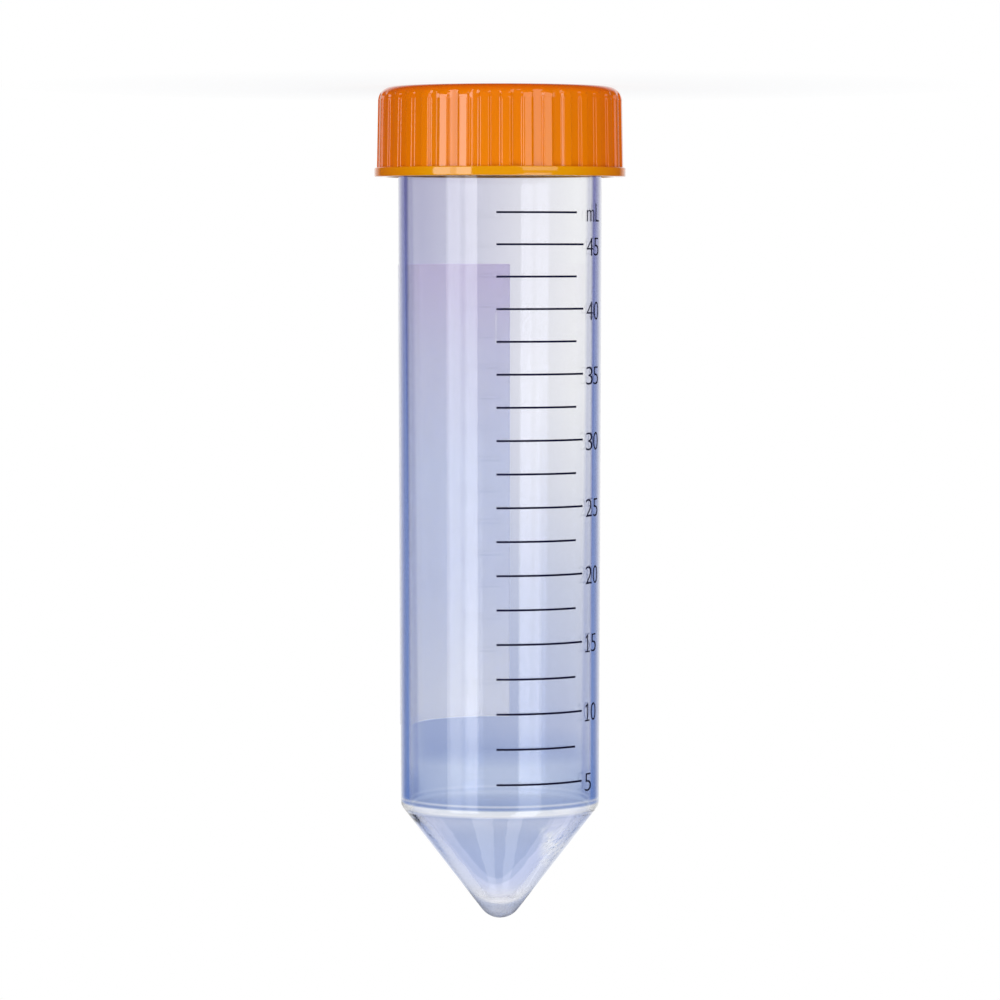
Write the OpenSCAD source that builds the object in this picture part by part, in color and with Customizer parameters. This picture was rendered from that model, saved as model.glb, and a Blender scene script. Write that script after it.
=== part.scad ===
// A 50 ml conical tube with its screw cap, standing on the cap.
// The origin is the centre of the cap's top face, and +Z runs from there to the tube's tip.
// The scale and the writing panel face -Y and +Y, and angles are counted from +X towards +Y.

/* [Tube] */
// Length of the tube, from its rim to the outside of its tip
tube_l = 115.3; // [95:0.1:140]
// Outer diameter of the wall where it leaves the cap
wall_top_d = 28.55; // [23:0.05:35]
// Outer diameter of the wall at the corner of the cone
wall_low_d = 27.95; // [23:0.05:34]
// Thickness of the wall at the rim
wall_top_t = 0.72; // [0.6:0.02:1.4]
// Thickness of the wall at the corner of the cone
wall_low_t = 1.32; // [0.8:0.02:1.6]
// Rounding of the rim's two edges
rim_r = 0.25; // [0.1:0.05:0.28]

/* [Cone] */
// Angle between the outside of the cone and the axis, in degrees
cone_a = 37.65; // [30:0.05:41]
// Angle between the inside of the cone and the axis, in degrees
bore_cone_a = 40.5; // [36:0.5:46]
// Thickness of the cone's wall at its corner, square to its side
cone_t = 1.05; // [0.9:0.05:1.6]
// Outer radius of the tip
tip_r = 3.2; // [2.6:0.05:4.5]
// Radius of the floor inside the tip
floor_r = 3.2; // [2:0.1:8]
// Blend between the wall and the cone
shoulder_r = 1.5; // [1:0.1:4]

/* [Thread] */
// Rise of the thread in one turn
thread_pitch = 3.4; // [2.8:0.1:4.2]
// Turns of full thread
thread_turns = 1.75; // [1:0.25:2]
// Height of the thread above the neck
thread_h = 1.05; // [0.6:0.05:1.3]
// Width of the thread at its foot
thread_foot_w = 1.5; // [1:0.1:1.8]
// Width of the thread at its crest
thread_crest_w = 0.6; // [0.3:0.1:0.9]
// From the rim to the middle of the thread's first section
thread_start = 1.7; // [1.3:0.1:2.4]

/* [Cap] */
// Height of the cap
cap_h = 12.6; // [11:0.1:17]
// Thickness of the cap's top
cap_top_t = 1.7; // [1:0.1:2.2]
// Thickness of the skirt between two ribs, at its open end
skirt_t = 1.3; // [0.9:0.01:1.6]
// Draft of the outside of the skirt, in degrees
skirt_draft = 0.9; // [0:0.1:1.5]
// Blend between the cap's top and its side
cap_corner_r = 2; // [1:0.1:2.5]
// Number of grip ribs
rib_n = 36; // [24:1:48]
// Height of the ribs
rib_h = 0.38; // [0.2:0.02:0.6]
// Share of the pitch that a rib takes
rib_share = 0.48; // [0.35:0.01:0.65]
// Height of the smooth band at the open end
band_h = 1.3; // [0.6:0.1:1.8]
// How far the band stands out past the ribs
band_out = 0.32; // [0.1:0.02:0.6]
// Rounding of the band's two edges
band_r = 0.2; // [0.05:0.05:0.3]
// Bevel inside the open end of the skirt
mouth_bevel = 0.4; // [0.2:0.1:0.6]
// Gap between the thread's crest and the skirt
skirt_gap = 0.25; // [0.15:0.05:0.5]

/* [Seal ring] */
// Depth that the seal ring reaches into the bore
seal_h = 3.2; // [2:0.1:5]
// Thickness of the seal ring
seal_t = 0.9; // [0.6:0.05:1.3]
// Bevel on the seal ring's end
seal_bevel = 0.25; // [0.1:0.05:0.28]
// Gap between the seal ring and the bore
seal_gap = 0.15; // [0.1:0.05:0.3]

/* [Scale] */
// Volume at the first line, in millilitres
scale_first = 5; // [5:2.5:10]
// Volume at the last line, in millilitres
scale_last = 47.5; // [40:2.5:50]
// Volume between two lines, in millilitres
scale_step = 2.5; // [2.5:2.5:5]
// Width of a line
line_w = 0.28; // [0.2:0.02:0.5]
// Angle that a long line takes round the wall
line_long_a = 56; // [40:1:70]
// Angle that a short line takes round the wall
line_short_a = 50; // [20:1:60]
// Where the lines begin, past the middle of the front
line_from_a = 2; // [0:1:10]
// How far the whole scale is printed towards the tip from its exact heights
scale_shift = 0.8; // [-2:0.05:2]
// Wall left clear between the cap and the nearest line
scale_clear = 3; // [1:0.5:6]
// Thickness of the print
ink_t = 0.05; // [0.03:0.01:0.1]
// Gap that keeps the print's face off the wall's
ink_gap = 0.02; // [0.01:0.01:0.05]

/* [Writing panel] */
// Angle that the panel takes round the wall
panel_a = 95; // [60:1:120]
// Where the panel ends, past the middle of the back
panel_to_a = 6; // [0:1:20]
// Wall left clear between the cap and the panel
panel_cap_clear = 12.3; // [6:0.1:20]
// Wall left clear between the panel and the corner of the cone
panel_cone_clear = 11.2; // [6:0.1:20]

/* [Hidden] */
$fn = 96;
front_a = 270;
back_a = 90;

// The rim seats on the inside of the cap's top
rim_z = cap_top_t;
tip_z = rim_z + tube_l;

// Outside of the tube: a drafted wall, a cone and a round tip
apex_z = tip_z + tip_r * (1 / sin(cone_a) - 1);
corner_z = apex_z - wall_low_d / 2 / tan(cone_a);
wall_slope = (wall_top_d - wall_low_d) / 2 / (corner_z - cap_h);
rim_out_r = wall_r(rim_z);

// Inside of the tube
bore_rim_r = rim_out_r - wall_top_t;
bore_low_r = wall_low_d / 2 - wall_low_t;
bore_corner_z = corner_z - cone_t / sin(cone_a) + wall_low_t / tan(cone_a);
bore_apex_z = bore_corner_z + bore_low_r / tan(bore_cone_a);
bore_slope = (bore_rim_r - bore_low_r) / (bore_corner_z - rim_z);

// Cap, sized from the tube that it holds
crest_r = rim_out_r + thread_h;
skirt_in_r = crest_r + skirt_gap;
skirt_end_r = skirt_in_r + skirt_t;
skirt_taper = tan(skirt_draft);
band_z = cap_h - band_h;
band_out_r = skirt_end_r + rib_h + band_out;
seal_end_z = cap_top_t + seal_h;
seal_out_r = bore_r(seal_end_z) - seal_gap;

// Volume held by the cone, up to the corner of the bore, in cubic millimetres
floor_edge_r = floor_r * cos(bore_cone_a);
floor_edge_z = bore_apex_z - floor_edge_r / tan(bore_cone_a);
floor_cap_h = floor_r * (1 - sin(bore_cone_a));
floor_volume = PI * pow(floor_cap_h, 2) * (3 * floor_r - floor_cap_h) / 3;
cone_volume = floor_volume + PI / 3 * (floor_edge_z - bore_corner_z)
    * (pow(bore_low_r, 2) + bore_low_r * floor_edge_r + pow(floor_edge_r, 2));

// Radius of the outside of the wall at a height
function wall_r(z) = wall_low_d / 2 + wall_slope * (corner_z - z);

// Radius of the bore at a height, above the corner of its cone
function bore_r(z) = bore_low_r + bore_slope * (bore_corner_z - z);

// Radius of the skirt between two ribs at a height
function skirt_r(z) = skirt_end_r - skirt_taper * (cap_h - z);

// Height of the surface of a volume in millilitres, with the tip down
function fill_z(ml) =
    bore_corner_z - (pow(pow(bore_low_r, 3)
        + 3 * bore_slope * (ml * 1000 - cone_volume) / PI, 1 / 3) - bore_low_r) / bore_slope;

// Points of an arc round [x, y], from one angle to another
function arc(x, y, r, from_a, to_a, steps = 8) =
    [for (i = [0 : steps]) let (a = from_a + (to_a - from_a) * i / steps)
        [x + r * cos(a), y + r * sin(a)]];

// Blend of radius r at [x, z], where the nearly upright wall bends by bend_a into the cone
function bend(x, z, r, bend_a, from_a, to_a) =
    arc(x - r, z - r * tan(bend_a / 2), r, from_a, to_a);

// Section of the tube's wall, from the tip's outside to the floor of the bore
function tube_section() = concat(
    arc(0, tip_z - tip_r, tip_r, 90, cone_a, 12),
    bend(wall_low_d / 2, corner_z, shoulder_r, cone_a, cone_a, 0),
    arc(rim_out_r - rim_r, rim_z + rim_r, rim_r, 0, -90, 4),
    arc(bore_rim_r + rim_r, rim_z + rim_r, rim_r, -90, -180, 4),
    bend(bore_low_r, bore_corner_z, shoulder_r, bore_cone_a, 0, bore_cone_a),
    arc(0, bore_apex_z - floor_r / sin(bore_cone_a), floor_r, bore_cone_a, 90, 12)
);

// A ridge wound up the neck, its two ends fading into the wall over a twelfth of a turn
module thread_ridge() {
    turn_steps = 36;
    fade_steps = 3;
    sink = 0.3;
    steps = round(thread_turns * turn_steps) + 2 * fade_steps;
    foot_r = wall_r(cap_h) - sink;
    function rise(i) = min(1, i / fade_steps, (steps - i) / fade_steps);
    function top_r(i) = foot_r + 0.1 + (crest_r - foot_r - 0.1) * rise(i);
    function middle_z(i) = rim_z + thread_start + thread_pitch * i / turn_steps;
    function ring(i) = let (a = 360 * i / turn_steps, z = middle_z(i))
        [for (p = [[foot_r, -thread_foot_w / 2], [top_r(i), -thread_crest_w / 2],
                   [top_r(i), thread_crest_w / 2], [foot_r, thread_foot_w / 2]])
            [p[0] * cos(a), p[0] * sin(a), z + p[1]]];
    points = [for (i = [0 : steps]) each ring(i)];
    sides = [for (i = [0 : steps - 1]) for (j = [0 : 3])
        let (a = 4 * i + j, b = 4 * i + (j + 1) % 4)
        each [[a, b, b + 4], [a, b + 4, a + 4]]];
    last = 4 * steps;
    ends = [[0, 2, 1], [0, 3, 2], [last, last + 1, last + 2], [last, last + 2, last + 3]];
    polyhedron(points = points, faces = concat(sides, ends), convexity = 6);
}

// Clear moulded tube, open at the rim, with the thread on its neck
module tube() {
    color([0.78, 0.82, 0.93, 0.45])
    union() {
        rotate_extrude() polygon(tube_section());
        thread_ridge();
    }
}

// Section of the cap before the spaces between its ribs are cut
function cap_section() = concat(
    [[0, 0]],
    arc(skirt_r(0) + rib_h - cap_corner_r, cap_corner_r, cap_corner_r, -90, 0, 10),
    [[skirt_r(band_z) + rib_h, band_z]],
    arc(band_out_r - band_r, band_z + band_r, band_r, -90, 0, 4),
    arc(band_out_r - band_r, cap_h - band_r, band_r, 0, 90, 4),
    [[skirt_in_r + mouth_bevel, cap_h],
     [skirt_in_r, cap_h - mouth_bevel],
     [skirt_in_r, cap_top_t],
     [seal_out_r, cap_top_t],
     [seal_out_r, seal_end_z - seal_bevel],
     [seal_out_r - seal_bevel, seal_end_z],
     [seal_out_r - seal_t + seal_bevel, seal_end_z],
     [seal_out_r - seal_t, seal_end_z - seal_bevel],
     [seal_out_r - seal_t, cap_top_t],
     [0, cap_top_t]]
);

// Space between two ribs, open to the outside and running out over the cap's corner
module rib_space() {
    pitch_a = 360 / rib_n;
    past = 1;
    rotate_extrude(angle = pitch_a * (1 - rib_share))
        polygon([[skirt_r(-past), -past], [skirt_r(band_z), band_z],
                 [skirt_r(band_z) + rib_h + past, band_z], [skirt_r(band_z) + rib_h + past, -past]]);
}

// Screw cap with its grip ribs, smooth band and seal ring
module cap() {
    color([0.93, 0.5, 0.02])
    difference() {
        rotate_extrude() polygon(cap_section());
        for (i = [0 : rib_n - 1]) rotate(360 / rib_n * i) rib_space();
    }
}

// Print between two heights, following the wall's draft
module print_band(from_z, to_z, from_a, sweep_a) {
    in_r = ink_gap;
    out_r = ink_gap + ink_t;
    rotate(from_a) rotate_extrude(angle = sweep_a)
        polygon([[wall_r(from_z) + in_r, from_z], [wall_r(from_z) + out_r, from_z],
                 [wall_r(to_z) + out_r, to_z], [wall_r(to_z) + in_r, to_z]]);
}

// Lines of the scale, each at the height that its volume reaches
module scale_marks() {
    color([0.03, 0.03, 0.12])
    for (ml = [scale_first : scale_step : scale_last])
        let (z = fill_z(ml) + scale_shift, sweep_a = ml % 5 == 0 ? line_long_a : line_short_a)
        if (z > cap_h + scale_clear)
            print_band(z - line_w / 2, z + line_w / 2, front_a + line_from_a - sweep_a, sweep_a);
}

// Frosted panel to write on, at the back of the wall
module writing_panel() {
    color([0.93, 0.93, 0.97])
    print_band(cap_h + panel_cap_clear, corner_z - panel_cone_clear,
        back_a + panel_to_a - panel_a, panel_a);
}

cap();
tube();
scale_marks();
writing_panel();
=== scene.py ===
"""Looks of a 50 ml conical tube that stands on its orange screw cap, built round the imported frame.

It has two mouldings, the clear tube and the orange cap, and two prints, the dark scale and the white panel.
"""
import math

import bmesh
import bpy
from mathutils import Matrix, Vector


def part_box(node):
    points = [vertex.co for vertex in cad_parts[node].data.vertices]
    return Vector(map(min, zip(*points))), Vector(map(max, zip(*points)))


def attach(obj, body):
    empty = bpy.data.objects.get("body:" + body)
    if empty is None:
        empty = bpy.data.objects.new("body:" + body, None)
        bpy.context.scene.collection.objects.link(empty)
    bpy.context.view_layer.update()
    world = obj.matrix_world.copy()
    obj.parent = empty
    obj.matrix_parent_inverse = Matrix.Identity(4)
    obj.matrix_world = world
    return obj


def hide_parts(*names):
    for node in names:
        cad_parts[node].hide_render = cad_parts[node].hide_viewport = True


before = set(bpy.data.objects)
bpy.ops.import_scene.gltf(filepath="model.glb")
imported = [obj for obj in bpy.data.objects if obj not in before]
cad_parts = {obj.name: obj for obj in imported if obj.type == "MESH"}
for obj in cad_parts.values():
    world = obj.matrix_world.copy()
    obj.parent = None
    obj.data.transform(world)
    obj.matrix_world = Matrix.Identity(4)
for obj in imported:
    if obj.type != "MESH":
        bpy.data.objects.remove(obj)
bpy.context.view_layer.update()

# Lengths are in metres. Points closer than MERGE are one, and an edge that turns by more than HARD_EDGE_A
# isn't smoothed. A name that ends in STEPS is the number of faces along an arc, or of a thread in one turn
MM = 0.001
TURN = 2 * math.pi
MERGE = 1e-7
HARD_EDGE_A = math.radians(35)

# Places that the frame gives
TUBE_LOW, TUBE_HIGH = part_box("tube")
CAP_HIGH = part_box("cap")[1]
PANEL_LOW, PANEL_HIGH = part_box("writing_panel")
RIM_Z = TUBE_LOW.z
TIP_Z = TUBE_HIGH.z
CAP_H = CAP_HIGH.z
BAND_OUT_R = CAP_HIGH.x
PANEL_HEIGHTS = (PANEL_LOW.z, PANEL_HIGH.z)
panel_angles = [math.atan2(v.co.y, v.co.x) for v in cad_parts["writing_panel"].data.vertices]
PANEL_ANGLES = (min(panel_angles), max(panel_angles))

# Tube. Here and below, sizes that the frame doesn't give are those that the CAD part was built with
WALL_TOP_R = 14.275 * MM
WALL_LOW_R = 13.975 * MM
WALL_TOP_T = 0.72 * MM
WALL_LOW_T = 1.32 * MM
RIM_R = 0.25 * MM
CONE_A = math.radians(37.65)
BORE_CONE_A = math.radians(40.5)
CONE_T = 1.05 * MM
TIP_R = 3.2 * MM
FLOOR_R = 3.2 * MM
SHOULDER_R = 1.5 * MM
WALL_STEPS = 256
TIP_STEPS = 24
FLOOR_STEPS = 20
SHOULDER_STEPS = 12
EDGE_STEPS = 5

# Neck thread and the cap's internal thread
THREAD_PITCH = 3.4 * MM
THREAD_TURNS = 1.75
THREAD_H = 1.05 * MM
THREAD_FOOT_W = 1.5 * MM
THREAD_CREST_W = 0.6 * MM
THREAD_START = 1.7 * MM
THREAD_STEPS = 72
THREAD_FADE = 6
THREAD_END_SHARE = 0.1
THREAD_SINK = 0.3 * MM
CAP_THREAD_H = THREAD_H * 0.95
CAP_THREAD_TURNS = 1.25

# Cap
CAP_TOP_T = 1.7 * MM
SKIRT_GAP = 0.25 * MM
SKIRT_T = 1.3 * MM
SKIRT_DRAFT = math.radians(0.9)
CAP_CORNER_R = 2 * MM
CORNER_STEPS = 10
RIB_N = 36
RIB_H = 0.38 * MM
RIB_SHARE = 0.48
RIB_SIDE_A = math.radians(0.8)
RIB_EDGE_R = 0.12 * MM
RIB_EDGE_A = math.radians(20)
RIB_END_STEPS = 6
BAND_H = 1.3 * MM
BAND_R = 0.2 * MM
MOUTH_BEVEL = 0.4 * MM
SEAL_H = 3.2 * MM
SEAL_T = 0.9 * MM
SEAL_BEVEL = 0.25 * MM
SEAL_GAP = 0.15 * MM

# Print
INK_T = 0.05 * MM
INK_GAP = 0.02 * MM
UNIT = "mL"
FIRST_VOLUME = 5
LINE_VOLUME = 2.5
NUMBERED_VOLUME = 5
NUMBER_H = 2.5 * MM
DIGIT_W = 1.8 * MM
ONE_W = 1.25 * MM
UNIT_W = 4.1 * MM
DIGIT_GAP = 0.42 * MM
STROKE_W = 0.2 * MM
FLAG_L = 0.7 * MM
FLAG_ASIDE = 0.22 * MM
FLAG_DROP = 0.3 * MM
FLAG_A = math.radians(38)
FONT_CAPITAL = 0.7
FONT_THINNED = 0.055 * MM
NUMBER_DROP = 0.32 * MM
NUMBER_START_A = math.radians(57.5)
BEND_STEP = 0.3 * MM

# Marks: a thin line left clear in the panel, and a ragged patch of painted glint, a painted highlight, on the
# front of the cone
SLIT_ANGLES = (math.radians(87.3), math.radians(87.8))
SLIT_HEIGHTS = (31.9 * MM, 36.3 * MM)
GLINT_X = (-8.3 * MM, -6.3 * MM)
GLINT_PAST_CORNER = (2.5 * MM, 7.5 * MM)

# Painted highlights as pale rings at the cone's corner, and the stretch of wall by it over which the tint
# changes sides
RING_PAST_CORNER = (-0.4 * MM, 0.2 * MM)
FAINT_RING_PAST_CORNER = (-1.15 * MM, -MM)
FAINT_RING = 0.5
TURN_PAST_CORNER = (-6.5 * MM, -MM)
TINT_SWING = 0.75

# Frosting near the tip, by its distance from it and the roughness that it adds
FROST_FROM_TIP = (6 * MM, 2 * MM)
FROST = 0.35

# Painted shadow: a deeper tint at the back of the cone, a wedge with a round end
SHADOW_WEDGE_X = 0.7 * MM
SHADOW_WEDGE_SLOPE = 1.9
SHADOW_WEDGE_ROUND = 13 * MM
SHADOW_WEDGE_END_Z = 112.4 * MM
SHADOW_WEDGE_EDGE = 0.1 * MM
SHADOW_WEDGE_TINT = (0.636, 0.70, 0.785)

# Tints of the plastic with painted shade and light in them: darker and bluer down the wall and on the +X side
# near the cap, lighter on the cone, at shares of the height from the cap's mouth to the tip. The cone starts
# at 0.85
WHITE_TINT = (1.0, 1.0, 1.0)
CONE_TINT = (0.82, 0.85, 0.965)
CONE_TINTS = [(0.855, (0.82, 0.84, 0.93)), (0.9, CONE_TINT), (0.95, CONE_TINT), (0.975, (1.0, 0.99, 1.0))]
LIT_SIDE_TINTS = [
    (0.0, (0.98, 0.98, 0.98)), (0.3, (0.96, 0.96, 0.96)), (0.42, (0.895, 0.90, 0.925)),
    (0.55, (0.79, 0.81, 0.88)), (0.75, (0.70, 0.735, 0.85)), (0.79, (0.58, 0.64, 0.80)),
    (0.84, (0.545, 0.62, 0.79))] + CONE_TINTS
SHADED_SIDE_TINTS = [
    (0.0, (0.655, 0.65, 0.77)), (0.25, (0.69, 0.70, 0.83)), (0.55, (0.635, 0.68, 0.84)),
    (0.84, (0.515, 0.59, 0.77))] + CONE_TINTS
# Painted shade at the outline: darker blues, at shares of the height
OUTLINE_SHADE_TINTS = [(0.0, (0.10, 0.10, 0.34)), (0.3, (0.06, 0.11, 0.42)), (1.0, (0.05, 0.12, 0.46))]

# Painted light on the wall behind the panel, from the lit panel behind it, at shares of the panel's height
# from its end by the cap
PANEL_BACKLIGHT_TINTS = [
    (0.0, (0.88, 0.825, 0.94)), (0.2, (0.896, 0.89, 0.965)), (0.45, (0.905, 0.93, 0.995)),
    (0.7, (0.92, 0.94, 0.995)), (0.95, WHITE_TINT)]

# Painted shade at the outline: how dark it is, by how far the surface turns from the eye
WALL_OUTLINE = [(0.545, 0), (0.6, 0.97), (0.63, 1), (0.7, 0.93), (0.75, 0.85), (0.8, 0.7), (0.9, 0.5)]
BORE_OUTLINE = [(0.54, 0), (0.62, 0.58)]
CONE_OUTLINE = [(0.62, 0), (0.72, 0.06), (0.93, 0.06), (0.98, 0.2)]

# Colours of the cap, at shares of its height from its top, with the band from 0.9 on. The darker, redder
# orange at the corner by the top is painted shade
CAP_ORANGES = [
    (0.0, (0.62, 0.10, 0.0005)), (0.09, (0.76, 0.19, 0.0005)), (0.89, (0.79, 0.205, 0.0005)),
    (0.91, (0.74, 0.29, 0.001))]
# Painted shade: the darker, redder orange at the cap's two sides
SHADED_SIDE_ORANGE = (0.66, 0.075, 0.0005)

# Studio
CAMERA_AT = Vector((0, -0.689, 0.0228))
CAMERA_AIM = Vector((0, 0, 0.05795))
HALF_VIEW = 0.07035
SENSOR_W = 36
WHITE = (1, 1, 1, 1)
FLOOR_WHITE = (0.9, 0.9, 0.9, 1)
ROOM = (0.80, 0.86, 1, 1)
ROOM_MIRRORED = 0.03
COOL = (1.1, 1.25, 1.65)
LAMP_DISTANCE = 0.9
STAGE_R = 0.09
SHADOW_R = 0.025
SHADOW_SHARE = 0.12
CLEAR_OF_SHADOW_R = 0.07

# Derived from the sizes above
APEX_Z = TIP_Z + TIP_R * (1 / math.sin(CONE_A) - 1)
CORNER_Z = APEX_Z - WALL_LOW_R / math.tan(CONE_A)
WALL_SLOPE = (WALL_TOP_R - WALL_LOW_R) / (CORNER_Z - CAP_H)
NECK_Z = RIM_Z + (CAP_H - RIM_Z) * 0.9


def wall_r(z):
    """Radius of the outside of the wall at a height."""
    return WALL_LOW_R + WALL_SLOPE * (CORNER_Z - z)


RIM_OUT_R = wall_r(RIM_Z)
BORE_RIM_R = RIM_OUT_R - WALL_TOP_T
BORE_LOW_R = WALL_LOW_R - WALL_LOW_T
BORE_CORNER_Z = CORNER_Z - CONE_T / math.sin(CONE_A) + WALL_LOW_T / math.tan(CONE_A)
BORE_APEX_Z = BORE_CORNER_Z + BORE_LOW_R / math.tan(BORE_CONE_A)
BORE_SLOPE = (BORE_RIM_R - BORE_LOW_R) / (BORE_CORNER_Z - RIM_Z)
WITHIN_WALL_R = (WALL_LOW_R + BORE_RIM_R) / 2


def bore_r(z):
    """Radius of the bore at a height, above the corner of its cone."""
    return BORE_LOW_R + BORE_SLOPE * (BORE_CORNER_Z - z)


CREST_R = RIM_OUT_R + THREAD_H
SKIRT_IN_R = CREST_R + SKIRT_GAP
SKIRT_END_R = SKIRT_IN_R + SKIRT_T
BAND_Z = CAP_H - BAND_H
SEAL_END_Z = CAP_TOP_T + SEAL_H
SEAL_OUT_R = bore_r(SEAL_END_Z) - SEAL_GAP
RIB_PITCH_A = TURN / RIB_N
RIB_A = RIB_PITCH_A * RIB_SHARE
RIB_SPACE_A = RIB_PITCH_A - RIB_A - RIB_SIDE_A


def skirt_r(z):
    """Radius of the skirt between two ribs at a height."""
    return SKIRT_END_R - math.tan(SKIRT_DRAFT) * (CAP_H - z)


def past_corner(distances):
    """Heights at some distances past the corner between the wall and the cone, towards the tip."""
    return [CORNER_Z + distance for distance in distances]


# Sections and surfaces of revolution

def point(bm, x, z):
    """First point of a section in the XZ plane."""
    return bm.verts.new((x, 0, z))


def line_to(bm, last, x, z):
    """Draws the section on to a point."""
    new = bmesh.ops.extrude_vert_indiv(bm, verts=[last])["verts"][0]
    new.co = (x, 0, z)
    return new


def lines_to(bm, last, places):
    """Draws the section on through a row of points."""
    for x, z in places:
        last = line_to(bm, last, x, z)
    return last


def arc_on(bm, last, x, z, angle, steps):
    """Draws the section on along an arc round [x, z]. A positive angle turns from +Z towards +X."""
    made = bmesh.ops.spin(bm, geom=[last], cent=(x, 0, z), axis=(0, 1, 0), angle=angle, steps=steps)
    return next(g for g in made["geom_last"] if isinstance(g, bmesh.types.BMVert))


def spun_on(bm, geom, angle, steps):
    """Spins a section on round the Z axis from where it is, and returns it at its new place."""
    made = bmesh.ops.spin(bm, geom=geom, cent=(0, 0, 0), axis=(0, 0, 1), angle=angle, steps=steps)
    return made["geom_last"]


def revolve(bm, steps):
    """Spins a section once round the Z axis, and closes it where it meets itself."""
    bmesh.ops.spin(bm, geom=bm.verts[:] + bm.edges[:], cent=(0, 0, 0), axis=(0, 0, 1), angle=TURN,
                   steps=steps, use_merge=True)
    bmesh.ops.remove_doubles(bm, verts=bm.verts, dist=MERGE)
    bmesh.ops.recalc_face_normals(bm, faces=bm.faces)


def turn_about_axis(bm, verts, angle):
    """Turns points of a mesh about the Z axis."""
    bmesh.ops.rotate(bm, verts=verts, cent=(0, 0, 0), matrix=Matrix.Rotation(angle, 3, "Z"))


def piece(name, bm, body, material):
    """Makes a finished piece of a mesh, smooth but for its sharper edges."""
    mesh = bpy.data.meshes.new(name)
    bm.to_mesh(mesh)
    bm.free()
    mesh.shade_smooth()
    mesh.set_sharp_from_angle(angle=HARD_EDGE_A)
    mesh.materials.append(material)
    obj = bpy.data.objects.new(name, mesh)
    bpy.context.scene.collection.objects.link(obj)
    weighted = obj.modifiers.new("weighted", "WEIGHTED_NORMAL")
    weighted.keep_sharp = True
    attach(obj, body)
    return obj


# Nodes of the materials

def new_material(name):
    """A material with its Principled shader and its Object coordinates."""
    material = bpy.data.materials.new(name)
    material.use_nodes = True
    tree = material.node_tree
    place = tree.nodes.new("ShaderNodeTexCoord").outputs["Object"]
    return material, tree, tree.nodes["Principled BSDF"], place


def node(tree, kind, inputs=(), **settings):
    """Adds a node, sets its properties, and sets or links its inputs by name."""
    made = tree.nodes.new("ShaderNode" + kind)
    for name, value in settings.items():
        setattr(made, name, value)
    for name, value in dict(inputs).items():
        socket = made.inputs[name]
        if isinstance(value, bpy.types.NodeSocket):
            tree.links.new(value, socket)
        else:
            socket.default_value = value
    return made


def link(tree, value, socket):
    """Links a node's output to an input."""
    tree.links.new(value, socket)


def maths(tree, operation, first, second):
    """Two values put together by a Math node."""
    return node(tree, "Math", {0: first, 1: second}, operation=operation).outputs[0]


def product(tree, *values):
    """The product of two or more values."""
    whole = values[0]
    for value in values[1:]:
        whole = maths(tree, "MULTIPLY", whole, value)
    return whole


def unsigned(tree, value):
    """A value without its sign."""
    return node(tree, "Math", {0: value}, operation="ABSOLUTE").outputs[0]


def length_of(tree, vector):
    """The length of a vector."""
    return node(tree, "VectorMath", {0: vector}, operation="LENGTH").outputs["Value"]


def level_vector(tree, x, y):
    """A vector from its X and Y, without Z."""
    return node(tree, "CombineXYZ", {"X": x, "Y": y}).outputs[0]


def parts_of(tree, place):
    """A place's X, Y and Z."""
    return node(tree, "SeparateXYZ", {"Vector": place}).outputs


def spread(tree, value, low, high, to_low, to_high):
    """Maps a range of a value to another range, without going past it."""
    made = node(tree, "MapRange", {"Value": value, "From Min": low, "From Max": high, "To Min": to_low,
                                   "To Max": to_high})
    return made.outputs["Result"]


def within(tree, value, low, high, soft):
    """1 between two values, fading to 0 past them."""
    rise = spread(tree, value, low - soft, low, 0, 1)
    fall = spread(tree, value, high, high + soft, 1, 0)
    return product(tree, rise, fall)


def ramp(tree, fac, stops):
    """A colour ramp through the stops, each a position and a colour."""
    made = node(tree, "ValToRGB", {"Fac": fac})
    elements = made.color_ramp.elements
    while len(elements) < len(stops):
        elements.new(0.5)
    for element, (place, colour) in zip(elements, stops):
        element.position = place
        element.color = (*colour, 1)
    return made.outputs["Color"]


def grey_ramp(tree, fac, stops):
    """A ramp through greys, each stop a position and a level."""
    return ramp(tree, fac, [(place, (level, level, level)) for place, level in stops])


def full_colour(colour):
    """A colour as a socket takes it, or an output as it is."""
    return colour if isinstance(colour, bpy.types.NodeSocket) else (*colour, 1)


def mixed(tree, fac, first, second, blend="MIX"):
    """One colour turning into another, or into their blend, as a value goes from 0 to 1."""
    colours = {6: full_colour(first), 7: full_colour(second)}
    return node(tree, "Mix", {0: fac, **colours}, data_type="RGBA", blend_type=blend).outputs[2]


def noise_of(tree, place, scale, detail=2.0, squeeze=(1, 1, 1)):
    """Noise of a scale in features a metre, squeezed along the axes."""
    mapping = node(tree, "Mapping", {"Vector": place, "Scale": squeeze})
    made = node(tree, "TexNoise", {"Vector": mapping.outputs["Vector"], "Scale": scale, "Detail": detail})
    return made.outputs["Fac"]


def bump(tree, height, strength, distance, normal=None):
    """Bump from a height, on top of another normal."""
    inputs = {"Height": height, "Strength": strength, "Distance": distance}
    if normal is not None:
        inputs["Normal"] = normal
    return node(tree, "Bump", inputs).outputs["Normal"]


# Clear plastic

def wall_patch(tree, place, angles, heights, soft_a, soft_z):
    """1 in a patch of the wall between two angles round the axis and two heights."""
    x, y, z = parts_of(tree, place)
    sideways = within(tree, maths(tree, "ARCTAN2", y, x), *angles, soft_a)
    return product(tree, sideways, within(tree, z, *heights, soft_z))


def behind_panel(tree, place):
    """1 on the wall that carries the panel."""
    return wall_patch(tree, place, PANEL_ANGLES, PANEL_HEIGHTS, math.radians(0.2), 0.05 * MM)


def panel_slit(tree, place):
    """1 along a thin upright line where the panel's print is missing."""
    return wall_patch(tree, place, SLIT_ANGLES, SLIT_HEIGHTS, math.radians(0.15), 0.1 * MM)


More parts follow.
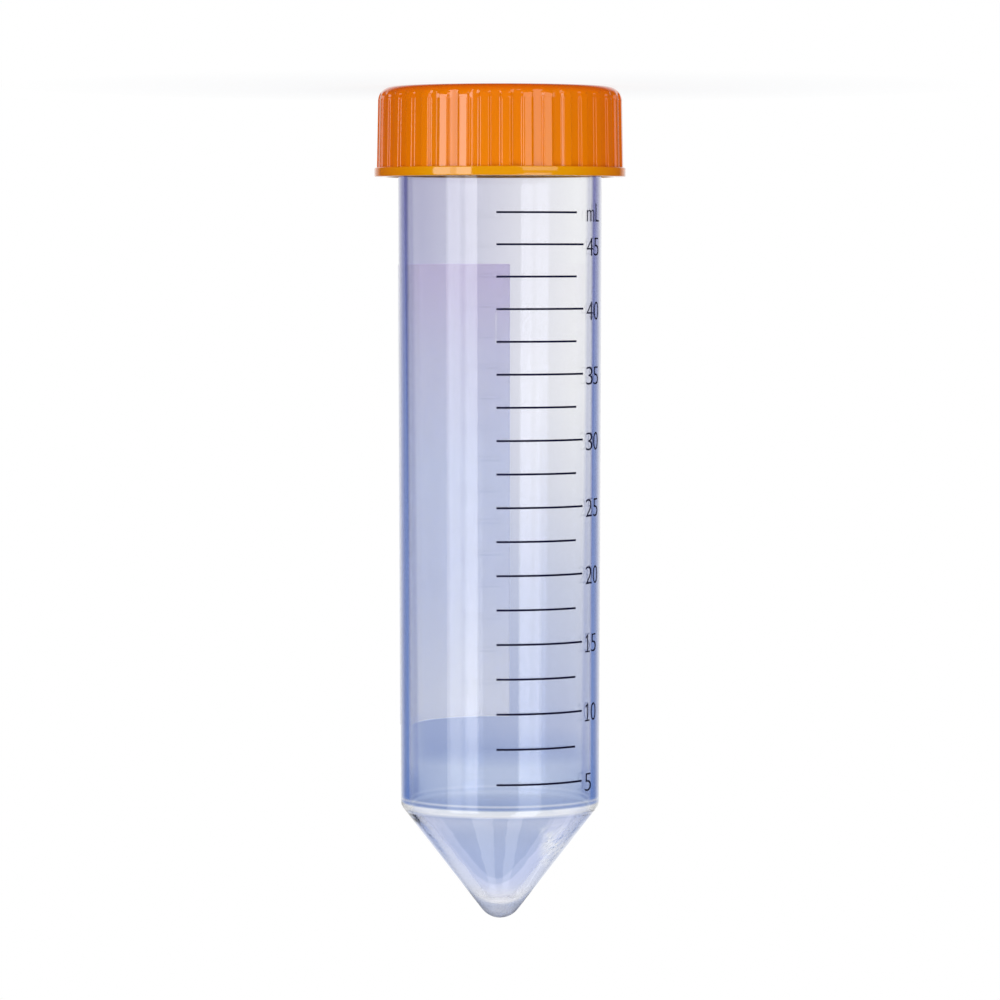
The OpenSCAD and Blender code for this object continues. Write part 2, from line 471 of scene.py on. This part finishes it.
def painted_shadow_wedge(tree, place):
    """1 in the wedge of painted shadow at the back of the cone."""
    x, y, z = parts_of(tree, place)
    sideways = product(tree, maths(tree, "SUBTRACT", x, SHADOW_WEDGE_X), SHADOW_WEDGE_SLOPE)
    drop = length_of(tree, level_vector(tree, sideways, SHADOW_WEDGE_ROUND))
    level = maths(tree, "ADD", z, drop)
    end = SHADOW_WEDGE_END_Z + SHADOW_WEDGE_ROUND
    above = spread(tree, level, end - SHADOW_WEDGE_EDGE, end + SHADOW_WEDGE_EDGE, 1, 0)
    behind = spread(tree, y, 0, MM, 0, 1)
    on_cone = spread(tree, z, CORNER_Z + MM, CORNER_Z + 6 * MM, 0, 1)
    return product(tree, above, behind, on_cone)


def painted_cone_glint(tree, place):
    """1 in the ragged patch of painted glint on the front of the cone."""
    x, y, z = parts_of(tree, place)
    ragged = spread(tree, noise_of(tree, place, 420), 0.42, 0.54, 0, 1)
    sideways = within(tree, x, *GLINT_X, 1.2 * MM)
    upright = within(tree, z, *past_corner(GLINT_PAST_CORNER), MM)
    in_front = spread(tree, y, -MM, 0, 1, 0)
    return product(tree, sideways, upright, ragged, in_front)


def painted_corner_highlights(tree, z):
    """1 in the painted highlight ring at the cone's corner, and less in the faint one on the wall by it."""
    ring = within(tree, z, *past_corner(RING_PAST_CORNER), 0.2 * MM)
    faint_ring = within(tree, z, *past_corner(FAINT_RING_PAST_CORNER), 0.15 * MM)
    return maths(tree, "MAXIMUM", ring, product(tree, faint_ring, FAINT_RING))


def tint_with_painted_light(tree, place, height):
    """Tint of the plastic with painted shade, lighter towards -X and darker towards +X, and with painted
    light on the wall behind the panel.
    """
    parts = parts_of(tree, place)
    across = spread(tree, parts["X"], -WALL_LOW_R * 0.8, WALL_LOW_R * 0.9, 0, 1)
    tint = mixed(tree, across, ramp(tree, height, LIT_SIDE_TINTS), ramp(tree, height, SHADED_SIDE_TINTS))
    # Painted light on the wall behind the panel
    painted_backlight = ramp(tree, spread(tree, parts["Z"], *PANEL_HEIGHTS, 0, 1), PANEL_BACKLIGHT_TINTS)
    painted_backlight = mixed(tree, panel_slit(tree, place), painted_backlight, WHITE_TINT)
    return mixed(tree, behind_panel(tree, place), tint, painted_backlight)


def moved_back(tree, place, tint):
    """Moves the tint from the front of the wall to its back, and the other way round on the cone."""
    parts = parts_of(tree, place)
    back = spread(tree, parts["Y"], -WALL_LOW_R / 2, WALL_LOW_R / 2, -TINT_SWING, TINT_SWING)
    turned = spread(tree, parts["Z"], *past_corner(TURN_PAST_CORNER), 1, -1)
    depth = node(tree, "Math", {0: back, 1: turned, 2: 1.0}, operation="MULTIPLY_ADD").outputs[0]
    return node(tree, "Gamma", {"Color": tint, "Gamma": depth}).outputs[0]


def outline(tree, place, on_cone):
    """Painted shade at the outline, by how far the plastic turns from the eye: most outside the wall, less in
    the bore, least on the cone.
    """
    parts = parts_of(tree, place)
    slant = node(tree, "LayerWeight", {"Blend": 0.5}).outputs["Facing"]
    from_axis = length_of(tree, level_vector(tree, parts["X"], parts["Y"]))
    outside = spread(tree, from_axis, WITHIN_WALL_R - 0.05 * MM, WITHIN_WALL_R + 0.05 * MM, 0, 1)
    wall, bore, cone = (grey_ramp(tree, slant, stops) for stops in (WALL_OUTLINE, BORE_OUTLINE, CONE_OUTLINE))
    return mixed(tree, on_cone, mixed(tree, outside, bore, wall), cone)


def moulded_surface(tree, place, on_cone, glint_patch, frosted):
    """Small unevenness: flow lines, sunk places on the cone, scraped bumps in the patch of painted glint and
    the frosted tip.
    """
    flow = noise_of(tree, place, 220, squeeze=(1, 1, 0.06))
    uneven = bump(tree, flow, 0.12, 0.05 * MM)
    sunk = noise_of(tree, place, 160)
    uneven = bump(tree, sunk, spread(tree, on_cone, 0, 1, 0, 0.3), 0.25 * MM, uneven)
    scraped = noise_of(tree, place, 900)
    uneven = bump(tree, scraped, glint_patch, 0.1 * MM, uneven)
    grain = noise_of(tree, place, 3000)
    return bump(tree, grain, spread(tree, frosted, 0, FROST, 0, 0.6), 0.1 * MM, uneven)


def clear_plastic():
    """Clear moulded plastic with a cool tint holding painted shade and light, a painted dark outline, painted
    highlights at the cone's corner and on its front, a painted shadow at the cone's back, and a frosted tip.
    """
    material, tree, shader, place = new_material("clear_plastic")
    shader.inputs["Transmission Weight"].default_value = 1
    shader.inputs["IOR"].default_value = 1.49
    z = parts_of(tree, place)["Z"]
    height = spread(tree, z, CAP_H, TIP_Z, 0, 1)
    on_cone = spread(tree, z, CORNER_Z - MM, CORNER_Z, 0, 1)
    # Painted highlight: a ragged pale patch on the front of the cone, which also gets scraped bumps
    glint_patch = painted_cone_glint(tree, place)
    tint = moved_back(tree, place, tint_with_painted_light(tree, place, height))
    # Painted shadow at the back of the cone
    tint = mixed(tree, painted_shadow_wedge(tree, place), tint, SHADOW_WEDGE_TINT, "MULTIPLY")
    # Painted shade at the outline
    tint = mixed(tree, outline(tree, place, on_cone), tint, ramp(tree, height, OUTLINE_SHADE_TINTS))
    # Painted highlights: the pale rings at the cone's corner
    tint = mixed(tree, painted_corner_highlights(tree, z), tint, WHITE_TINT)
    tint = mixed(tree, glint_patch, tint, WHITE_TINT)
    link(tree, tint, shader.inputs["Base Color"])
    polished = spread(tree, noise_of(tree, place, 400, 3), 0.3, 0.7, 0.012, 0.035)
    low, high = (TIP_Z - distance for distance in FROST_FROM_TIP)
    frosted = spread(tree, z, low, high, 0, FROST)
    link(tree, maths(tree, "ADD", polished, frosted), shader.inputs["Roughness"])
    link(tree, moulded_surface(tree, place, on_cone, glint_patch, frosted), shader.inputs["Normal"])
    absorbing = node(tree, "VolumeAbsorption", {"Color": (0.35, 0.5, 0.85, 1), "Density": 22})
    link(tree, absorbing.outputs["Volume"], tree.nodes["Material Output"].inputs["Volume"])
    return material


# Orange plastic and inks

def cap_plastic():
    """Glossy orange moulded plastic, a little yellower at the band, with painted shade, darker and redder, at
    the corner and the sides.
    """
    material, tree, shader, place = new_material("cap_plastic")
    parts = parts_of(tree, place)
    base = ramp(tree, spread(tree, parts["Z"], 0, CAP_H, 0, 1), CAP_ORANGES)
    # Painted shade at the cap's two sides
    side_shade = spread(tree, unsigned(tree, parts["X"]), BAND_OUT_R * 0.55, BAND_OUT_R * 0.95, 0, 0.5)
    link(tree, mixed(tree, side_shade, base, SHADED_SIDE_ORANGE), shader.inputs["Base Color"])
    shader.inputs["IOR"].default_value = 1.5
    shader.inputs["Coat Weight"].default_value = 1
    shader.inputs["Coat IOR"].default_value = 1.9
    shader.inputs["Coat Roughness"].default_value = 0.06
    shader.inputs["Specular IOR Level"].default_value = 0
    cloud = noise_of(tree, place, 900, 3)
    link(tree, spread(tree, cloud, 0.3, 0.7, 0.25, 0.4), shader.inputs["Roughness"])
    peel = noise_of(tree, place, 2500)
    link(tree, bump(tree, peel, 0.06, 0.02 * MM), shader.inputs["Normal"])
    return material


def dark_ink():
    """Dark blue-black ink, with the uneven cover of a thin print."""
    material, tree, shader, place = new_material("dark_ink")
    cover = noise_of(tree, place, 1800, 3)
    base = ramp(tree, cover, [(0.3, (0.003, 0.003, 0.018)), (0.7, (0.006, 0.006, 0.035))])
    link(tree, base, shader.inputs["Base Color"])
    shader.inputs["Specular IOR Level"].default_value = 0.1
    link(tree, spread(tree, cover, 0.3, 0.7, 0.35, 0.55), shader.inputs["Roughness"])
    return material


def white_ink():
    """White frosted ink to write on, thin enough to let light through."""
    material, tree, shader, place = new_material("white_ink")
    cover = noise_of(tree, place, 500, 4)
    base = ramp(tree, cover, [(0.3, (0.84, 0.86, 1)), (0.7, (0.88, 0.90, 1))])
    link(tree, base, shader.inputs["Base Color"])
    shader.inputs["Alpha"].default_value = 0.3
    link(tree, spread(tree, cover, 0.3, 0.7, 0.6, 0.8), shader.inputs["Roughness"])
    grain = noise_of(tree, place, 9000)
    link(tree, bump(tree, grain, 0.15, 0.01 * MM), shader.inputs["Normal"])
    return material


CLEAR = clear_plastic()
ORANGE = cap_plastic()
DARK_INK = dark_ink()
WHITE_INK = white_ink()


# Tube

def tube_wall():
    """The wall, cone, tip and rim, from the outside of the tip round to the floor of the bore."""
    bm = bmesh.new()
    last = arc_on(bm, point(bm, 0, TIP_Z), 0, TIP_Z - TIP_R, TURN / 4 - CONE_A, TIP_STEPS)
    blend_x = WALL_LOW_R - SHOULDER_R
    blend_z = CORNER_Z - SHOULDER_R * math.tan(CONE_A / 2)
    cone_end = (blend_x + SHOULDER_R * math.cos(CONE_A), blend_z + SHOULDER_R * math.sin(CONE_A))
    last = line_to(bm, last, *cone_end)
    last = arc_on(bm, last, blend_x, blend_z, CONE_A, SHOULDER_STEPS)
    last = lines_to(bm, last, [(wall_r(NECK_Z), NECK_Z), (RIM_OUT_R, RIM_Z + RIM_R)])
    last = arc_on(bm, last, RIM_OUT_R - RIM_R, RIM_Z + RIM_R, TURN / 4, EDGE_STEPS)
    last = line_to(bm, last, BORE_RIM_R + RIM_R, RIM_Z)
    last = arc_on(bm, last, BORE_RIM_R + RIM_R, RIM_Z + RIM_R, TURN / 4, EDGE_STEPS)
    bore_blend_x = BORE_LOW_R - SHOULDER_R
    bore_blend_z = BORE_CORNER_Z - SHOULDER_R * math.tan(BORE_CONE_A / 2)
    last = lines_to(bm, last, [(bore_r(NECK_Z), NECK_Z), (BORE_LOW_R, bore_blend_z)])
    last = arc_on(bm, last, bore_blend_x, bore_blend_z, -BORE_CONE_A, SHOULDER_STEPS)
    floor_z = BORE_APEX_Z - FLOOR_R / math.sin(BORE_CONE_A)
    last = line_to(bm, last, FLOOR_R * math.cos(BORE_CONE_A), floor_z + FLOOR_R * math.sin(BORE_CONE_A))
    arc_on(bm, last, 0, floor_z, BORE_CONE_A - TURN / 4, FLOOR_STEPS)
    revolve(bm, WALL_STEPS)
    return bm


def ridge(foot_r, crest_r, start_z, turns):
    """A right-handed thread wound up the axis, its two ends fading into what carries it."""
    bm = bmesh.new()
    foot = [bm.verts.new((foot_r, 0, start_z - side * THREAD_FOOT_W / 2)) for side in (1, -1)]
    crest = [bm.verts.new((crest_r, 0, start_z - side * THREAD_CREST_W / 2)) for side in (-1, 1)]
    last = bm.faces.new(foot + crest)
    steps = round(turns * THREAD_STEPS) + 2 * THREAD_FADE
    rise = Matrix.Translation((0, 0, THREAD_PITCH / THREAD_STEPS))
    to_next = rise @ Matrix.Rotation(TURN / THREAD_STEPS, 4, "Z")
    sections = [crest]
    for step in range(steps):
        made = bmesh.ops.extrude_face_region(bm, geom=[last])["geom"]
        if step:
            bmesh.ops.delete(bm, geom=[last], context="FACES_ONLY")
        last = next(part for part in made if isinstance(part, bmesh.types.BMFace))
        bmesh.ops.transform(bm, matrix=to_next, verts=last.verts)
        sections.append(sorted(last.verts, key=lambda vert: abs(vert.co.xy.length - crest_r))[:2])
    for step, tops in enumerate(sections):
        grown = max(THREAD_END_SHARE, min(1, step / THREAD_FADE, (steps - step) / THREAD_FADE))
        for vert in tops:
            vert.co.xy = vert.co.xy.normalized() * (foot_r + (crest_r - foot_r) * grown)
    bmesh.ops.recalc_face_normals(bm, faces=bm.faces)
    return bm


def neck_thread():
    """The thread round the neck, inside the cap."""
    return ridge(wall_r(CAP_H) - THREAD_SINK, CREST_R, RIM_Z + THREAD_START, THREAD_TURNS)


def united(bm, other):
    """One closed surface round two solids that overlap."""
    parts = []
    for source in (bm, other):
        mesh = bpy.data.meshes.new("part")
        source.to_mesh(mesh)
        source.free()
        parts.append(bpy.data.objects.new("part", mesh))
        bpy.context.scene.collection.objects.link(parts[-1])
    join = parts[0].modifiers.new("join", "BOOLEAN")
    join.operation = "UNION"
    join.solver = "MANIFOLD"
    join.object = parts[1]
    seen = parts[0].evaluated_get(bpy.context.evaluated_depsgraph_get())
    whole = bmesh.new()
    whole.from_mesh(seen.data)
    for part in parts:
        bpy.data.objects.remove(part)
    return whole


# Cap

def cap_section(bm):
    """The cap's section through a rib, from the middle of its top round to the middle of its inside."""
    corner_x = skirt_r(0) + RIB_H - CAP_CORNER_R
    rib_end_a = math.acos(1 - RIB_H / CAP_CORNER_R)
    last = line_to(bm, point(bm, 0, 0), corner_x, 0)
    last = arc_on(bm, last, corner_x, CAP_CORNER_R, rib_end_a - TURN / 4, CORNER_STEPS)
    last = arc_on(bm, last, corner_x, CAP_CORNER_R, -rib_end_a, RIB_END_STEPS)
    last = lines_to(bm, last, [(skirt_r(BAND_Z) + RIB_H, BAND_Z), (BAND_OUT_R - BAND_R, BAND_Z)])
    last = arc_on(bm, last, BAND_OUT_R - BAND_R, BAND_Z + BAND_R, -TURN / 4, EDGE_STEPS)
    last = line_to(bm, last, BAND_OUT_R, CAP_H - BAND_R)
    last = arc_on(bm, last, BAND_OUT_R - BAND_R, CAP_H - BAND_R, -TURN / 4, EDGE_STEPS)
    lines_to(bm, last, [
        (SKIRT_IN_R + MOUTH_BEVEL, CAP_H), (SKIRT_IN_R, CAP_H - MOUTH_BEVEL),
        (SKIRT_IN_R, CAP_TOP_T), (SEAL_OUT_R, CAP_TOP_T),
        (SEAL_OUT_R, SEAL_END_Z - SEAL_BEVEL), (SEAL_OUT_R - SEAL_BEVEL, SEAL_END_Z),
        (SEAL_OUT_R - SEAL_T + SEAL_BEVEL, SEAL_END_Z), (SEAL_OUT_R - SEAL_T, SEAL_END_Z - SEAL_BEVEL),
        (SEAL_OUT_R - SEAL_T, CAP_TOP_T), (0, CAP_TOP_T)])


def set_spaces_back(bm):
    """Moves the outside of the skirt in by the ribs' height, in the half spaces beside the first rib."""
    slack_a = 1e-4
    for vert in bm.verts:
        z = vert.co.z
        r = vert.co.xy.length
        angle = math.atan2(vert.co.y, vert.co.x)
        in_space = angle < RIB_SPACE_A / 2 + slack_a or angle > RIB_PITCH_A - RIB_SPACE_A / 2 - slack_a
        on_skirt = r > SKIRT_IN_R + MOUTH_BEVEL + MERGE and z < BAND_Z + MERGE
        on_band = abs(z - BAND_Z) < MERGE and r > skirt_r(BAND_Z) + RIB_H + MERGE
        if in_space and on_skirt and not on_band and r > skirt_r(z):
            vert.co.xy = vert.co.xy.normalized() * skirt_r(z)


def is_rib_edge(edge):
    """True for the long edges at the top and the foot of a rib's sides."""
    low, high = sorted(edge.verts, key=lambda vert: vert.co.z)
    upright = high.co.z - low.co.z > BAND_Z / 2
    outside = low.co.xy.length > SKIRT_IN_R + SKIRT_T / 2
    return upright and outside and edge.calc_face_angle(0) > RIB_EDGE_A


def ribbed_cap():
    """The cap: one rib with half a space at each side, repeated round the axis."""
    bm = bmesh.new()
    cap_section(bm)
    half_space = (RIB_SPACE_A / 2, 2)
    side = (RIB_SIDE_A, 1)
    geom = bm.verts[:] + bm.edges[:]
    for angle, steps in (half_space, side, (RIB_A - RIB_SIDE_A, 3), side, half_space):
        geom = spun_on(bm, geom, angle, steps)
    set_spaces_back(bm)
    bmesh.ops.spin(bm, geom=bm.verts[:] + bm.edges[:] + bm.faces[:], cent=(0, 0, 0), axis=(0, 0, 1),
                   angle=TURN, steps=RIB_N, use_duplicate=True)
    bmesh.ops.remove_doubles(bm, verts=bm.verts, dist=MERGE)
    bmesh.ops.recalc_face_normals(bm, faces=bm.faces)
    edges = [edge for edge in bm.edges if is_rib_edge(edge)]
    bmesh.ops.bevel(bm, geom=edges, offset=RIB_EDGE_R, offset_type="OFFSET", segments=3, profile=0.5,
                    affect="EDGES", clamp_overlap=True, material=-1)
    turn_about_axis(bm, bm.verts, RIB_SPACE_A / 2)
    return bm


def cap_thread():
    """The thread inside the cap's skirt, which lies between the turns of the one on the neck."""
    start_z = RIM_Z + THREAD_START + THREAD_PITCH / 2
    return ridge(SKIRT_IN_R + THREAD_SINK, SKIRT_IN_R - CAP_THREAD_H, start_z, CAP_THREAD_TURNS)


# Print

def panel_print():
    """The panel to write on: a thin print that follows the back of the wall."""
    start_a, end_a = PANEL_ANGLES
    low_z, high_z = PANEL_HEIGHTS
    bm = bmesh.new()
    corners = [(low_z, INK_GAP), (low_z, INK_GAP + INK_T), (high_z, INK_GAP + INK_T), (high_z, INK_GAP)]
    bm.faces.new([bm.verts.new((wall_r(z) + out, 0, z)) for z, out in corners])
    turn_about_axis(bm, bm.verts, start_a)
    sweep = end_a - start_a
    spun_on(bm, bm.verts[:] + bm.edges[:] + bm.faces[:], sweep, round(sweep / TURN * WALL_STEPS))
    bmesh.ops.recalc_face_normals(bm, faces=bm.faces)
    return bm


def line_heights():
    """Heights of the scale's lines, from the tip to the cap."""
    heights = sorted(vert.co.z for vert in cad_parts["scale_marks"].data.vertices)
    lines = [[heights[0]]]
    for z in heights[1:]:
        if z - lines[-1][-1] > MM:
            lines.append([])
        lines[-1].append(z)
    return [(line[0] + line[-1]) / 2 for line in reversed(lines)]


def extent(bm, axis):
    """Lowest and highest place of a mesh along an axis."""
    places = [vert.co[axis] for vert in bm.verts]
    return min(places), max(places)


def glyph(text, width):
    """One character or word as a thin solid of a width, its left edge and half its height at the origin."""
    curve = bpy.data.curves.new("glyph", "FONT")
    curve.body = text
    curve.size = NUMBER_H / FONT_CAPITAL
    curve.offset = -FONT_THINNED
    curve.extrude = INK_T / 2
    curve.resolution_u = 4
    obj = bpy.data.objects.new("glyph", curve)
    mesh = bpy.data.meshes.new_from_object(obj)
    bpy.data.objects.remove(obj)
    bm = bmesh.new()
    bm.from_mesh(mesh)
    bmesh.ops.remove_doubles(bm, verts=bm.verts, dist=MERGE)
    low_x, high_x = extent(bm, 0)
    low_y, high_y = extent(bm, 1)
    bmesh.ops.translate(bm, verts=bm.verts, vec=(-low_x, -(low_y + high_y) / 2, 0))
    bmesh.ops.scale(bm, verts=bm.verts, vec=(width / (high_x - low_x), NUMBER_H / (high_y - low_y), 1))
    return bm


def stroke(bm, length, x, y, angle):
    """A straight stroke of a length, with its middle at a place."""
    made = bmesh.ops.create_cube(bm, size=1)["verts"]
    bmesh.ops.scale(bm, verts=made, vec=(length, STROKE_W, INK_T))
    turn_about_axis(bm, made, angle)
    bmesh.ops.translate(bm, verts=made, vec=(x, y, 0))


def figure_one():
    """The figure 1 with its flag and foot."""
    bm = bmesh.new()
    middle = ONE_W / 2
    stroke(bm, NUMBER_H, middle, 0, TURN / 4)
    stroke(bm, ONE_W, middle, (STROKE_W - NUMBER_H) / 2, 0)
    stroke(bm, FLAG_L, middle - FLAG_ASIDE, NUMBER_H / 2 - FLAG_DROP, FLAG_A)
    return bm


def put_into(whole, bm):
    """Puts a mesh into another one and frees it."""
    mesh = bpy.data.meshes.new("part")
    bm.to_mesh(mesh)
    bm.free()
    whole.from_mesh(mesh)


def lettering(text):
    """Thin upright lettering in the XY plane, its left edge and half its height at the origin."""
    whole = bmesh.new()
    pen_x = 0
    parts = [UNIT] if text == UNIT else list(text)
    for part in parts:
        width = {UNIT: UNIT_W, "1": ONE_W}.get(part, DIGIT_W)
        bm = figure_one() if part == "1" else glyph(part, width)
        bmesh.ops.translate(bm, verts=bm.verts, vec=(pen_x, 0, 0))
        pen_x += width + DIGIT_GAP
        put_into(whole, bm)
    return whole


def printed_round(bm, start_a, z):
    """Bends lettering round the wall from an angle past the front, to be read with the tip down."""
    width = max(vert.co.x for vert in bm.verts)
    for i in range(1, math.ceil(width / BEND_STEP)):
        bmesh.ops.bisect_plane(bm, geom=bm.verts[:] + bm.edges[:] + bm.faces[:],
                               plane_co=(i * BEND_STEP, 0, 0), plane_no=(1, 0, 0))
    for vert in bm.verts:
        place_z = z - vert.co.y
        r = wall_r(place_z) + INK_GAP + INK_T / 2 + vert.co.z
        angle = start_a + vert.co.x / wall_r(z)
        vert.co = (-r * math.sin(angle), -r * math.cos(angle), place_z)


def scale_numbers():
    """Every second line's volume, and the unit beside the last line."""
    whole = bmesh.new()
    heights = line_heights()
    for i, z in enumerate(heights):
        volume = FIRST_VOLUME + LINE_VOLUME * i
        if z == heights[-1]:
            text, drop = UNIT, 0
        elif volume % NUMBERED_VOLUME == 0:
            text, drop = "%d" % volume, NUMBER_DROP
        else:
            continue
        bm = lettering(text)
        printed_round(bm, NUMBER_START_A, z + drop)
        put_into(whole, bm)
    return whole


tube = piece("conical_tube", united(tube_wall(), neck_thread()), "tube", CLEAR)
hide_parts("tube")
cap = piece("screw_cap", united(ribbed_cap(), cap_thread()), "cap", ORANGE)
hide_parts("cap")
panel = piece("panel_print", panel_print(), "tube", WHITE_INK)
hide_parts("writing_panel")
piece("scale_numbers", scale_numbers(), "tube", DARK_INK)

scale_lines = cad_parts["scale_marks"].data
scale_lines.materials.clear()
scale_lines.materials.append(DARK_INK)


# Studio: backdrop, floor, lamps and camera

def shown_white(tree, path):
    """1 for the rays that show the background: the camera's, and those that pass through clear plastic."""
    return maths(tree, "MAXIMUM", path.outputs["Is Camera Ray"], path.outputs["Is Transmission Ray"])


def studio_world():
    """A white backdrop and a cool room.

    The backdrop is what the camera sees, also through the plastic, and what is mirrored from behind. It is
    cooler for the light that reaches a surface through the plastic. The room lights the rest, more from the
    front and the back than from the sides, and hardly shows in reflections.
    """
    world = bpy.data.worlds.new("studio")
    world.use_nodes = True
    tree = world.node_tree
    path = node(tree, "LightPath")
    y = parts_of(tree, node(tree, "TexCoord").outputs["Generated"])["Y"]
    mirrored = path.outputs["Is Glossy Ray"]
    from_behind = product(tree, spread(tree, y, 0.8, 0.97, 0, 1), mirrored)
    share = maths(tree, "MAXIMUM", shown_white(tree, path), from_behind)
    room = tree.nodes["Background"]
    room.inputs["Color"].default_value = ROOM
    lit = spread(tree, unsigned(tree, y), 0.1, 0.8, 0.3, 0.85)
    dimmed = spread(tree, mirrored, 0, 1, 1, ROOM_MIRRORED)
    link(tree, product(tree, lit, dimmed), room.inputs["Strength"])
    lighting = spread(tree, path.outputs["Diffuse Depth"], 0, 1, 0, 1)
    colour = mixed(tree, lighting, WHITE_TINT, COOL)
    backdrop = node(tree, "Background", {"Color": colour, "Strength": 1})
    mix = node(tree, "MixShader", {0: share, 1: room.outputs[0], 2: backdrop.outputs[0]})
    link(tree, mix.outputs[0], tree.nodes["World Output"].inputs["Surface"])
    bpy.context.scene.world = world


def studio_floor():
    """A small pale floor, not mirrored, that fades into the backdrop and keeps the shadow by the cap."""
    bm = bmesh.new()
    bmesh.ops.create_circle(bm, cap_ends=True, segments=96, radius=STAGE_R)
    mesh = bpy.data.meshes.new("floor")
    bm.to_mesh(mesh)
    bm.free()
    floor = bpy.data.objects.new("floor", mesh)
    bpy.context.scene.collection.objects.link(floor)
    material, tree, shader, place = new_material("floor")
    path = node(tree, "LightPath")
    shader.inputs["Base Color"].default_value = FLOOR_WHITE
    shader.inputs["Roughness"].default_value = 0.9
    shader.inputs["Specular IOR Level"].default_value = 0
    shader.inputs["Emission Color"].default_value = WHITE
    glow = spread(tree, path.outputs["Is Diffuse Ray"], 0, 1, 0, 0.5)
    link(tree, glow, shader.inputs["Emission Strength"])
    fade = spread(tree, length_of(tree, place), SHADOW_R, CLEAR_OF_SHADOW_R, 1 - SHADOW_SHARE, 1)
    seen = product(tree, shown_white(tree, path), fade)
    white = node(tree, "Emission", {"Color": WHITE, "Strength": 1})
    mix = node(tree, "MixShader", {0: seen, 1: shader.outputs[0], 2: white.outputs[0]})
    gone = node(tree, "BsdfTransparent")
    mirrored = path.outputs["Is Glossy Ray"]
    mix = node(tree, "MixShader", {0: mirrored, 1: mix.outputs[0], 2: gone.outputs[0]})
    link(tree, mix.outputs[0], tree.nodes["Material Output"].inputs["Surface"])
    mesh.materials.append(material)


def softbox(name, azimuth, elevation, width_a, height_a, radiance, fade=None):
    """A lamp that faces the tube, by its direction and size in degrees. It may fade towards its foot.

    It shows in reflections, and not straight through the clear plastic from its far side.
    """
    lamp = bpy.data.lights.new(name, "AREA")
    lamp.shape = "RECTANGLE"
    lamp.size = 2 * LAMP_DISTANCE * math.tan(math.radians(width_a) / 2)
    lamp.size_y = 2 * LAMP_DISTANCE * math.tan(math.radians(height_a) / 2)
    lamp.energy = radiance * math.pi * lamp.size * lamp.size_y
    lamp.use_nodes = True
    tree = lamp.node_tree
    path = node(tree, "LightPath")
    bounces = maths(tree, "ADD", path.outputs["Glossy Depth"], path.outputs["Diffuse Depth"])
    straight = spread(tree, bounces, 0, 1, 1, 0)
    through = spread(tree, path.outputs["Transmission Depth"], 0, 1, 0, 1)
    strength = spread(tree, product(tree, straight, through), 0, 1, 1, 0)
    if fade:
        height = parts_of(tree, node(tree, "NewGeometry").outputs["Parametric"])["Y"]
        strength = product(tree, strength, spread(tree, height, *fade, 0, 1))
    link(tree, strength, tree.nodes["Emission"].inputs["Strength"])
    obj = bpy.data.objects.new(name, lamp)
    sideways = Matrix.Rotation(math.radians(azimuth), 3, "Z")
    upwards = Matrix.Rotation(-math.radians(elevation), 3, "X")
    middle = Vector((0, 0, TIP_Z / 2))
    obj.location = middle + sideways @ upwards @ Vector((0, -LAMP_DISTANCE, 0))
    obj.rotation_euler = (middle - obj.location).to_track_quat("-Z", "Y").to_euler()
    bpy.context.scene.collection.objects.link(obj)


def studio_camera():
    """A long lens a little below the tube's middle, turned so that the tip points down."""
    camera = bpy.data.cameras.new("camera")
    camera.sensor_width = SENSOR_W
    camera.lens = SENSOR_W / 2 * (CAMERA_AIM - CAMERA_AT).length / HALF_VIEW
    obj = bpy.data.objects.new("camera", camera)
    bpy.context.scene.collection.objects.link(obj)
    forward = (CAMERA_AIM - CAMERA_AT).normalized()
    right = forward.cross(Vector((0, 0, -1))).normalized()
    up = right.cross(forward)
    turn = Matrix((right, up, -forward)).transposed()
    obj.matrix_world = Matrix.Translation(CAMERA_AT) @ turn.to_4x4()
    bpy.context.scene.camera = obj


studio_world()
studio_floor()
# Each lamp's azimuth, elevation, width, height, radiance and fade
softbox("lamp_left_outer", 54.5, 0, 17, 60, 2)
softbox("lamp_left_bar", 43, 0, 6, 60, 1.2)
softbox("lamp_left_inner", 33, 0, 14, 60, 2.2)
softbox("lamp_right_low", -37, -24, 34, 40, 0.9)
softbox("lamp_right_high", -35, 28, 28, 56, 2.4, (0, 0.25))
softbox("lamp_top_left", 62.6, 77, 10, 10, 1.5)
softbox("lamp_top_right", -56.5, 78, 8, 12, 1.5)
softbox("lamp_behind", -130, 44, 6, 8, 0.7)
studio_camera()
bpy.context.scene.view_settings.view_transform = "Standard"
# Enough bounces to pass through both walls, the panel and the print, with a few reflections on the way
cycles = bpy.context.scene.cycles
cycles.use_denoising = True
cycles.max_bounces = 32
cycles.glossy_bounces = 24
cycles.transmission_bounces = 32
